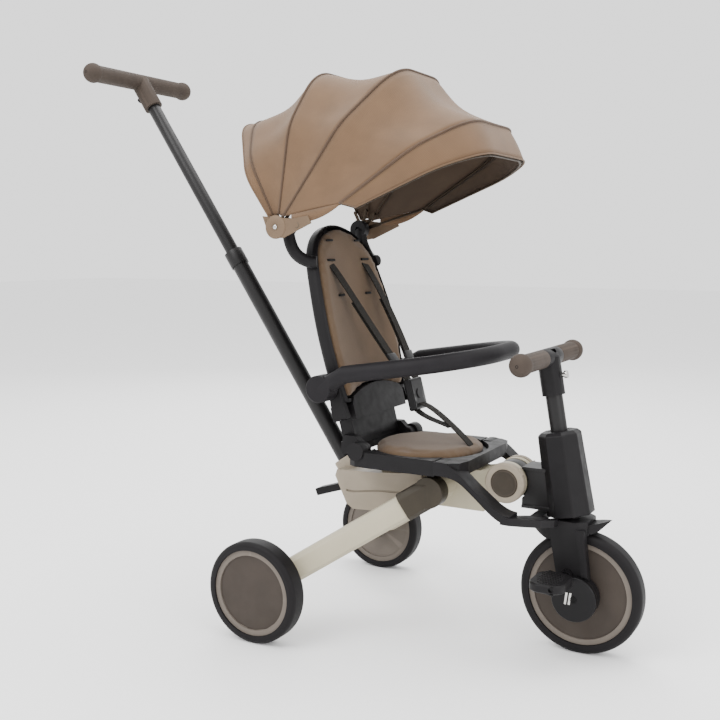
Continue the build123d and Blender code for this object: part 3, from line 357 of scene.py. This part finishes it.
NODE_MATERIALS = {
    "beige": ["rear_beam", "left_leg_tube", "right_leg_tube"],
    "beige_painted_shade": ["rear_housing", "pole_socket", "hinge_covers"],
    "sleeve": ["left_leg_sleeve", "right_leg_sleeve"],
    "boss": ["left_wheel_boss", "right_wheel_boss"],
    "button": ["left_fold_button", "right_fold_button"],
    "disc": ["front_disc", "left_rear_disc", "right_rear_disc"],
    "tyre": ["front_tyre", "left_rear_tyre", "right_rear_tyre"],
    "pole": ["pole_outer_tube", "pole_inner_tube", "stem_tube", "front_beam"],
    "grip": ["handlebar_grips", "push_handle_grip", "push_handle_stem"],
    "foam": ["bumper_bar"],
    "steel": ["front_axle", "frame_pins", "height_knob"],
    "wire": ["canopy_bow_rear", "canopy_bow_middle", "canopy_bow_front", "canopy_visor"],
    "plate": ["canopy_plates"],
    "gloss_black": ["crank_hubs", "buckle"],
    "black": [
        "backrest_shell", "backrest_bracket", "canopy_arms", "handlebar_tee", "steering_housing", "fork",
        "fender", "footrest_frame", "seat_shell", "rear_lever", "left_pedal", "right_pedal", "pole_button",
        "housing_bushes",
    ],
}
ROUNDING = {
    "rear_beam": 0.0030, "front_beam": 0.0030, "rear_housing": 0.0040, "footrest_frame": 0.0045,
    "seat_shell": 0.0030, "backrest_bracket": 0.0040, "fork": 0.0035, "fender": 0.0015,
    "steering_housing": 0.0020, "left_leg_tube": 0.0012, "right_leg_tube": 0.0012, "buckle": 0.0010,
    "rear_lever": 0.0025, "pole_socket": 0.0025, "canopy_plates": 0.0010, "left_pedal": 0.0010,
    "right_pedal": 0.0010, "left_leg_sleeve": 0.0020, "right_leg_sleeve": 0.0020,
}


def round_edges(node):
    """Soft moulded edges on a CAD node, by modifiers that leave its mesh alone."""
    weld = node.modifiers.new("weld", "WELD")
    weld.merge_threshold = 0.00002
    bevel = node.modifiers.new("soft_edges", "BEVEL")
    bevel.width = ROUNDING.get(node.name, 0.0007)
    bevel.segments = 3
    bevel.limit_method = "ANGLE"
    bevel.angle_limit = math.radians(32)
    bevel.harden_normals = True


def dress_nodes():
    """Each CAD node in the table gets its material, and all but the bow wires get soft edges."""
    for key, names in NODE_MATERIALS.items():
        for name in names:
            node = NODES[name]
            node.data.materials.clear()
            node.data.materials.append(M[key])
            if key != "wire":
                round_edges(node)


def paint_rings():
    """The light ring round each wheel disc, and the light inner faces of the rear discs."""
    wheels = (
        ("front_disc", FRONT_AXLE, FRONT_RING, 0),
        ("left_rear_disc", REAR_AXLE, REAR_RING, 1),
        ("right_rear_disc", REAR_AXLE * Vector((1, -1, 1)), REAR_RING, -1),
    )
    for name, axle, ring, side in wheels:
        mesh = NODES[name].data
        mesh.materials.append(M["ring"])
        for face in mesh.polygons:
            arm = face.center - axle
            on_ring = math.hypot(arm.x, arm.z) > ring - RING_WIDTH - 0.0008
            inside = side and arm.y * side < 0
            face.material_index = 1 if on_ring or inside else 0


# ---------------------------------------------------------------- mesh helpers


def piece(name, vertices, faces, body, material, slot, uvs=None):
    """A smooth mesh that rides on a body and takes its finish from a slot."""
    mesh = bpy.data.meshes.new(name)
    mesh.from_pydata([tuple(v) for v in vertices], [], faces)
    mesh.materials.append(M[material])
    mesh.polygons.foreach_set("use_smooth", [True] * len(mesh.polygons))
    if uvs:
        layer = mesh.uv_layers.new(name="cloth")
        for loop in mesh.loops:
            layer.data[loop.index].uv = uvs[loop.vertex_index]
    obj = bpy.data.objects.new(name, mesh)
    bpy.context.scene.collection.objects.link(obj)
    if body:
        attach(obj, body)
    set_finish(obj, slot)
    return obj


def grid_faces(rows, columns, wrap=False):
    """Quads over a grid of points stored row by row."""
    faces = []
    for row in range(rows - 1):
        for column in range(columns if wrap else columns - 1):
            after = (column + 1) % columns
            faces.append((
                row * columns + column, row * columns + after,
                (row + 1) * columns + after, (row + 1) * columns + column,
            ))
    return faces


def tube(name, points, radius, body, material, slot, sides=10):
    """A round tube along a line of points."""
    vertices = []
    count = len(points)
    for index, point in enumerate(points):
        run = (points[min(index + 1, count - 1)] - points[max(index - 1, 0)]).normalized()
        out = run.orthogonal() if index == 0 else (out - run * out.dot(run))
        out.normalize()
        across = run.cross(out)
        for step in range(sides):
            turn = 2 * math.pi * step / sides
            vertices.append(point + (out * math.cos(turn) + across * math.sin(turn)) * radius)
    faces = grid_faces(count, sides, wrap=True)
    faces.append(tuple(range(sides))[::-1])
    faces.append(tuple((count - 1) * sides + step for step in range(sides)))
    return piece(name, vertices, faces, body, material, slot)


def bezier(points, count):
    """Points along one Bezier curve of any order."""
    found = []
    for index in range(count):
        share = index / (count - 1)
        level = [Vector(p) for p in points]
        while len(level) > 1:
            level = [a.lerp(b, share) for a, b in zip(level, level[1:])]
        found.append(level[0])
    return found


def ribbon(name, points, wide, body):
    """A flat webbing strap along a line, wide along a given direction, with a real thickness."""
    vertices, uvs = [], []
    run = 0.0
    for index, point in enumerate(points):
        ahead = points[min(index + 1, len(points) - 1)] - points[max(index - 1, 0)]
        across = wide - ahead.normalized() * wide.dot(ahead.normalized())
        across = across.normalized() * STRAP_WIDE / 2
        lift = ahead.cross(across).normalized() * STRAP_THICK / 2
        if index:
            run += (point - points[index - 1]).length
        for u, corner in ((0, -across - lift), (1, across - lift), (1, across + lift), (0, -across + lift)):
            vertices.append(point + corner)
            uvs.append((u * STRAP_WIDE, run))
    faces = grid_faces(len(points), 4, wrap=True)
    faces.append((3, 2, 1, 0))
    last = 4 * (len(points) - 1)
    faces.append((last, last + 1, last + 2, last + 3))
    strap = piece(name, vertices, faces, body, "webbing", "webbing", uvs)
    strap.data.shade_flat()
    bevel = strap.modifiers.new("woven_edge", "BEVEL")
    bevel.width = 0.0006
    bevel.segments = 2
    return strap


def rounded_box(name, centre, size, turn, body, material, slot, radius):
    """A small moulded block with rounded edges. turn is a rotation matrix."""
    builder = bmesh.new()
    bmesh.ops.create_cube(builder, size=1.0)
    bmesh.ops.scale(builder, vec=size, verts=builder.verts)
    bmesh.ops.bevel(
        builder, geom=builder.edges[:], offset=radius, segments=3, profile=0.5, affect="EDGES"
    )
    bmesh.ops.transform(builder, matrix=Matrix.Translation(centre) @ turn.to_4x4(), verts=builder.verts)
    mesh = bpy.data.meshes.new(name)
    builder.to_mesh(mesh)
    builder.free()
    mesh.materials.append(M[material])
    mesh.polygons.foreach_set("use_smooth", [True] * len(mesh.polygons))
    obj = bpy.data.objects.new(name, mesh)
    bpy.context.scene.collection.objects.link(obj)
    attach(obj, body)
    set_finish(obj, slot)
    return obj


def dome(name, centre, axis, profile, body, material, slot, sides=40):
    """A turned piece: profile is a list of (radius, height) along the axis."""
    turn = Vector((0, 0, 1)).rotation_difference(axis).to_matrix()
    vertices = []
    for radius, height in profile:
        for step in range(sides):
            angle = 2 * math.pi * step / sides
            local = Vector((radius * math.cos(angle), radius * math.sin(angle), height))
            vertices.append(centre + turn @ local)
    faces = grid_faces(len(profile), sides, wrap=True)
    faces.append(tuple(range(sides))[::-1])
    faces.append(tuple((len(profile) - 1) * sides + step for step in range(sides)))
    return piece(name, vertices, faces, body, material, slot)


# ---------------------------------------------------------------- canopy


def rounded_line(corners, radius, count):
    """A polyline with rounded corners, resampled evenly."""
    line = [corners[0]]
    for before, corner, after in zip(corners, corners[1:], corners[2:]):
        back, ahead = (before - corner).normalized(), (after - corner).normalized()
        turn = math.pi - back.angle(ahead)
        shorter = min((before - corner).length, (after - corner).length)
        cut = min(radius * math.tan(turn / 2), shorter * 0.49)
        line += bezier([corner + back * cut, corner, corner + ahead * cut], 12)
    line.append(corners[-1])
    lengths = [0.0]
    for a, b in zip(line, line[1:]):
        lengths.append(lengths[-1] + (b - a).length)
    found, place = [], 0
    for index in range(count):
        goal = lengths[-1] * index / (count - 1)
        while place < len(line) - 2 and lengths[place + 1] < goal:
            place += 1
        gap = max(lengths[place + 1] - lengths[place], 1e-9)
        found.append(line[place].lerp(line[place + 1], min(1.0, (goal - lengths[place]) / gap)))
    return found


def arch_line(name, inset=0.0):
    """The points of one canopy arch, from the rider's right foot of it to the left."""
    angle, half, height, side_share, top_share, base, start = ARCHES[name]
    half -= inset
    height -= inset
    flat = [
        (-half, start), (-half, side_share * height), (-top_share * half, height),
        (top_share * half, height), (half, side_share * height), (half, start),
    ]
    corners = [Vector((y, up, 0)) for y, up in flat]
    sine, cosine = math.sin(math.radians(angle)), math.cos(math.radians(angle))
    line = rounded_line(corners, CORNER_RADIUS, ARCH_POINTS)
    return [Vector((base[0] + p.y * sine, p.x, base[1] + p.y * cosine)) for p in line]


def panel(name, first, second, sag, body, other=None, rows=13):
    """The cloth between two arches, pulled taut and slightly hollow between them."""
    start, end = arch_line(first), arch_line(second)
    vertices, uvs = [], []
    along = 0.0
    for index in range(ARCH_POINTS):
        if index:
            here = start[index].lerp(end[index], 0.5)
            behind = start[index - 1].lerp(end[index - 1], 0.5)
            along += (here - behind).length
        for row in range(rows):
            share = row / (rows - 1)
            point = start[index].lerp(end[index], share)
            middle = Vector((PIVOT[0] + 0.05, point.y * 0.45, PIVOT[1] + 0.04))
            away = point - middle
            reach = min(1.0, max(0.0, (point - Vector((PIVOT[0], point.y, PIVOT[1]))).length / 0.22))
            dip = sag * math.sin(math.pi * share) ** 1.2 * reach ** 2
            vertices.append(point - away.normalized() * dip)
            uvs.append((along, share * (end[index] - start[index]).length))
    obj = piece(name, vertices, grid_faces(ARCH_POINTS, rows), None if other else body,
                "canopy", "canopy_cloth", uvs)
    # The inner faces of the cloth take the darker copy: painted shade under the hood.
    obj.data.materials.append(M["canopy_inside_shade"])
    if other:
        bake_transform(obj)
    skin = obj.modifiers.new("cloth_thickness", "SOLIDIFY")
    skin.thickness = CLOTH_THICK
    skin.offset = -1.0
    skin.material_offset = 1
    return obj


def canopy():
    """The hood: five panels that meet along the bows, with piping over each seam."""
    rear = panel("canopy_cloth_back_edge", "rear_edge", "rear", 0.0, "backrest", rows=5)
    middle = panel("canopy_cloth_back", "rear", "middle", 0.013, "backrest", "canopy_middle")
    front = panel("canopy_cloth_top", "middle", "front", 0.013, "canopy_middle", "canopy_front")
    visor = panel("canopy_cloth_front", "front", "visor_bow", 0.016, "canopy_front", "canopy_visor")
    brim = panel("canopy_cloth_brim", "visor_bow", "visor_rim", -0.002, "canopy_visor", rows=7)
    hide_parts("canopy_fabric_rear")
    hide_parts("canopy_fabric_middle")
    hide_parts("canopy_fabric_front")
    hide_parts("canopy_fabric_visor")
    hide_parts("canopy_fabric_visor")
    seams = (
        ("rear_edge", "backrest", 0.6),
        ("rear", "backrest", 1.0),
        ("middle", "canopy_middle", 1.0),
        ("front", "canopy_front", 1.0),
        ("visor_bow", "canopy_visor", 1.0),
        ("visor_rim", "canopy_visor", 0.6),
    )
    for arch, body, size in seams:
        material = "piping" if size == 1.0 else "canopy"
        line = arch_line(arch, -0.0002)
        tube(f"canopy_piping_{arch}", line, PIPING_RADIUS * size, body, material, "canopy_cloth")


def gussets():
    """The small cloth corners that close the hood between its side plates and the visor."""
    for side, word in ((-1, "right"), (1, "left")):
        rows = []
        for line in (GUSSET_TOP, GUSSET_FOOT):
            rows.append(bezier([Vector((x, side * GUSSET_OUT, z)) for x, z in line], 13))
        vertices = rows[0] + rows[1]
        uvs = [(p.x, p.z) for p in vertices]
        corner = piece(f"{word}_canopy_gusset", vertices, grid_faces(2, 13), "canopy_visor",
                       "canopy", "canopy_cloth", uvs)
        thick = corner.modifiers.new("cloth_thickness", "SOLIDIFY")
        thick.thickness = CLOTH_THICK


def plate_details():
    """Rivets and small moulded marks on the canopy's side plates."""
    for side, word in ((-1, "right"), (1, "left")):
        face = side * PLATE_FACE
        centre = Vector((PIVOT[0], face, PIVOT[1]))
        out = Vector((0, side, 0))
        dome(f"{word}_pivot_cap", centre, out, PIVOT_CAP, "backrest", "plate", "canopy_plate")
        dome(f"{word}_pivot_rivet", centre, out, PIVOT_RIVET, "backrest", "steel", "steel", 24)
        for index, (x, z, turn) in enumerate(((-0.030, 0.722, 0.4), (-0.091, 0.730, 1.9))):
            points = []
            for step in range(13):
                angle = math.pi * step / 12 - math.pi / 2
                local = Vector((0.0045 * math.cos(angle) - 0.002, 0, 0.0045 * math.sin(angle)))
                points.append(Matrix.Rotation(turn, 3, "Y") @ local + Vector((x, face, z)))
            # The marks are drawn in the darker boss brown instead of the plate colour: painted shade along
            # each mark.
            tube(f"{word}_plate_mark_{index}", points, 0.0005, "backrest", "boss", "canopy_plate", 6)


# ---------------------------------------------------------------- pads


def swollen(name, source, cap, body, material, slot):
    """A padded piece: its CAD solid remeshed, blown up by the Cloth solver and smoothed."""
    mesh = NODES[source].data.copy()
    obj = bpy.data.objects.new(name, mesh)
    bpy.context.scene.collection.objects.link(obj)
    mesh.materials.clear()
    mesh.materials.append(M[material])
    for modifier in list(obj.modifiers):
        obj.modifiers.remove(modifier)
    remesh = obj.modifiers.new("remesh", "REMESH")
    remesh.mode = "VOXEL"
    remesh.voxel_size = 0.0045
    apply_modifiers(obj)
    rest = [v.co.copy() for v in obj.data.vertices]
    solve_pressure(obj)
    for vertex, start in zip(obj.data.vertices, rest):
        move = vertex.co - start
        if move.length > cap:
            vertex.co = start + move.normalized() * cap
    smooth = obj.modifiers.new("smooth", "SMOOTH")
    smooth.iterations = 4
    smooth.factor = 0.5
    finer = obj.modifiers.new("finer", "SUBSURF")
    finer.levels = finer.render_levels = 1
    apply_modifiers(obj)
    obj.data.polygons.foreach_set("use_smooth", [True] * len(obj.data.polygons))
    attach(obj, body)
    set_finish(obj, slot)
    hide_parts(source)
    return obj


def apply_modifiers(obj):
    """Puts what the modifiers make into the mesh itself."""
    graph = bpy.context.evaluated_depsgraph_get()
    made = bpy.data.meshes.new_from_object(obj.evaluated_get(graph))
    obj.modifiers.clear()
    old = obj.data
    obj.data = made
    bpy.data.meshes.remove(old)


def solve_pressure(obj):
    """Twenty frames of cloth under inside pressure, with no gravity."""
    solver = obj.modifiers.new("cloth", "CLOTH")
    solver.settings.use_pressure = True
    solver.settings.uniform_pressure_force = 4.0
    solver.settings.effector_weights.gravity = 0.0
    scene = bpy.context.scene
    for step in range(1, 21):
        scene.frame_set(step)
    apply_modifiers(obj)
    scene.frame_set(1)


def on_back(across, up, out):
    """A point on the backrest, in metres from the middle of the pad's foot."""
    return BACK_POINT + Vector((0, across, 0)) + BACK_UP * up + BACK_OUT * out


def harness_slots():
    """The stitched slots in the back pad that the harness passes through."""
    turn = Matrix((Vector((0, 1, 0)), BACK_UP, BACK_OUT)).transposed()
    for row, (across, up, wide) in enumerate(PAD_SLOTS):
        for side, word in ((-1, "right"), (1, "left")):
            lift = 0.018 * (across / 0.140) ** 2 + 0.0046
            # Each slot is a near-black block: painted shade in the slot's opening.
            rounded_box(f"{word}_pad_slot_{row}", on_back(side * across, up, lift), (wide, 0.0042, 0.003),
                        turn, "backrest", "dark", "webbing", 0.0012)


def harness():
    """Two shoulder straps with their tails and adjusters, and the crotch strap with its loop."""
    for side, word in ((-1, "right"), (1, "left")):
        bulge = 0.0 if side < 0 else 0.030
        line = bezier([
            on_back(side * 0.063, 0.247, 0.001), on_back(side * 0.063, 0.240, 0.012),
            on_back(side * (0.040 + bulge), 0.140, 0.036), on_back(side * (0.024 + bulge), 0.050, 0.066),
            on_back(side * 0.012, 0.004, 0.084),
        ], 40)
        strap = ribbon(f"{word}_shoulder_strap", line, Vector((0, 1, 0)), "backrest")
        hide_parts("shoulder_straps")
        tail = [p + BACK_OUT * -0.0035 + BACK_UP * -0.002 for p in line[16:33]]
        ribbon(f"{word}_strap_tail", tail, Vector((0, 1, 0)), "backrest")
        adjuster = line[31]
        across = Vector((0, 1, 0))
        run = (line[30] - line[32]).normalized()
        turn = Matrix((across, run, across.cross(run))).transposed()
        rounded_box(f"{word}_strap_adjuster", adjuster, (0.030, 0.018, 0.0055), turn, "backrest",
                    "gloss_black", "black_plastic", 0.0018)
    main = bezier(CROTCH_MAIN, 36)
    loop = bezier(CROTCH_LOOP, 24)
    for name, line in (("crotch_strap_main", main), ("crotch_strap_loop", loop)):
        strap = ribbon(name, line, Vector((0, 1, 0)), None)
        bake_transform(strap)
        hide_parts("crotch_strap")


def seat_details():
    """A shallow stitched crease near the middle of the seat pad."""
    points = bezier([
        SEAT_CENTRE + Vector((-0.018, -0.002, 0.0032)), SEAT_CENTRE + Vector((-0.010, 0.010, 0.0032)),
        SEAT_CENTRE + Vector((-0.018, 0.026, 0.0032)),
    ], 14)
    # The crease is a thin near-black tube: a painted shadow line along it.
    tube("seat_pad_crease", points, 0.0007, "rear_frame", "dark", "taupe_fabric", 6)


# ---------------------------------------------------------------- small hard details


def hub_details():
    """The screw recess and two bright index bars on each crank cover."""
    for side, word in ((-1, "right"), (1, "left")):
        out = Vector((0, side, 0))
        face = FRONT_AXLE + out * HUB_FACE
        # The screw takes the near-black recess colour: painted shade in the screw recess.
        dome(f"{word}_hub_screw", face, out, HUB_SCREW, "front_wheel", "dark", "steel", 24)
        for index, shift in enumerate(HUB_BARS):
            centre = face + Vector((shift, side * 0.0003, 0.001))
            turn = Matrix.Rotation(math.radians(7), 3, "Y")
            rounded_box(f"{word}_hub_bar_{index}", centre, HUB_BAR_SIZE, turn,
                        "front_wheel", "steel", "steel", 0.0004)


def pedal_details():
    """Diagonal tread ribs on both faces of each pedal."""
    for side, word in ((-1, "right"), (1, "left")):
        low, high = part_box(f"{word}_pedal")
        centre = (low + high) / 2
        for index in range(PEDAL_RIBS):
            across = low.y + (high.y - low.y) * (index + 1) / (PEDAL_RIBS + 1)
            edge = min(across - low.y, high.y - across)
            length = 0.030 + 0.55 * min(edge, 0.024)
            for level, word_face in ((high.z, "top"), (low.z, "foot")):
                turn = Matrix.Rotation(math.radians(24 * side), 3, "Z")
                place = Vector((centre.x, across, level))
                rounded_box(f"{word}_pedal_rib_{word_face}_{index}", place, (length, 0.0034, 0.0022),
                            turn, f"{word}_pedal", "black", "black_plastic", 0.0008)


def grip_details():
    """Small end plugs on the handlebar and the push handle."""
    for node, body in (("handlebar_grips", "handlebar"), ("push_handle_grip", "push_pole")):
        low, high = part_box(node)
        centre = (low + high) / 2
        for side, word in ((-1, "right"), (1, "left")):
            end = Vector((centre.x, low.y if side < 0 else high.y, centre.z))
            out = Vector((0, side, 0))
            # The plugs take the near-black recess colour: painted shade in the grip ends.
            dome(f"{node}_{word}_plug", end, out, GRIP_PLUG, body, "dark", "taupe_grip", 24)


def hinge_details():
    """The dished cap with a raised rim on each fold button."""
    for side, word in ((-1, "right"), (1, "left")):
        out = Vector((0, side, 0))
        face = Vector((HINGE_CENTRE[0], side * BUTTON_FACE, HINGE_CENTRE[1]))
        body = f"{word}_fold_button"
        dome(f"{word}_button_dish", face, out, BUTTON_DISH, body, "button", "dark_taupe")


def studio():
    """A pale floor, soft lights and the camera."""
    size = FLOOR_SIZE
    floor = piece("studio_floor", [(-size, -size, 0), (size, -size, 0), (size, size, 0), (-size, size, 0)],
                  [(0, 1, 2, 3)], None, "floor", "black_plastic")
    del floor["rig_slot"]
    world = bpy.data.worlds.new("studio")
    bpy.context.scene.world = world
    world.use_nodes = True
    background = world.node_tree.nodes["Background"]
    background.inputs["Color"].default_value = (1.0, 1.0, 1.0, 1)
    background.inputs["Strength"].default_value = WORLD_STRENGTH
    for name, place, wide, power in LIGHTS:
        data = bpy.data.lights.new(name, "AREA")
        data.size = wide
        data.energy = power
        lamp = bpy.data.objects.new(name, data)
        lamp.location = place
        lamp.rotation_euler = (LIGHT_TARGET - Vector(place)).to_track_quat("-Z", "Y").to_euler()
        bpy.context.scene.collection.objects.link(lamp)
    camera = bpy.data.objects.new("camera", bpy.data.cameras.new("camera"))
    camera.data.lens = CAMERA_LENS
    camera.location = CAMERA_PLACE
    camera.rotation_euler = (math.radians(90 - CAMERA_DIP), 0, math.radians(CAMERA_TURN))
    bpy.context.scene.collection.objects.link(camera)
    bpy.context.scene.camera = camera


def floor_material():
    """Pale matt paper with a faint grain."""
    material, nodes, links, shader = start_material("studio_paper", (0.92, 0.92, 0.92), 0.9)
    place = coordinates(nodes)
    bump(nodes, links, shader, noise(nodes, links, place, 300.0, 2.0), 0.02, 0.0005)
    return material


M["floor"] = floor_material()
dress_nodes()
paint_rings()
canopy()
gussets()
plate_details()
swollen("seat_cushion", "seat_pad", 0.005, "rear_frame", "pad", "taupe_fabric")
swollen("back_cushion", "backrest_pad", 0.003, "backrest", "pad", "taupe_fabric")
harness_slots()
harness()
seat_details()
hub_details()
pedal_details()
grip_details()
hinge_details()
studio()
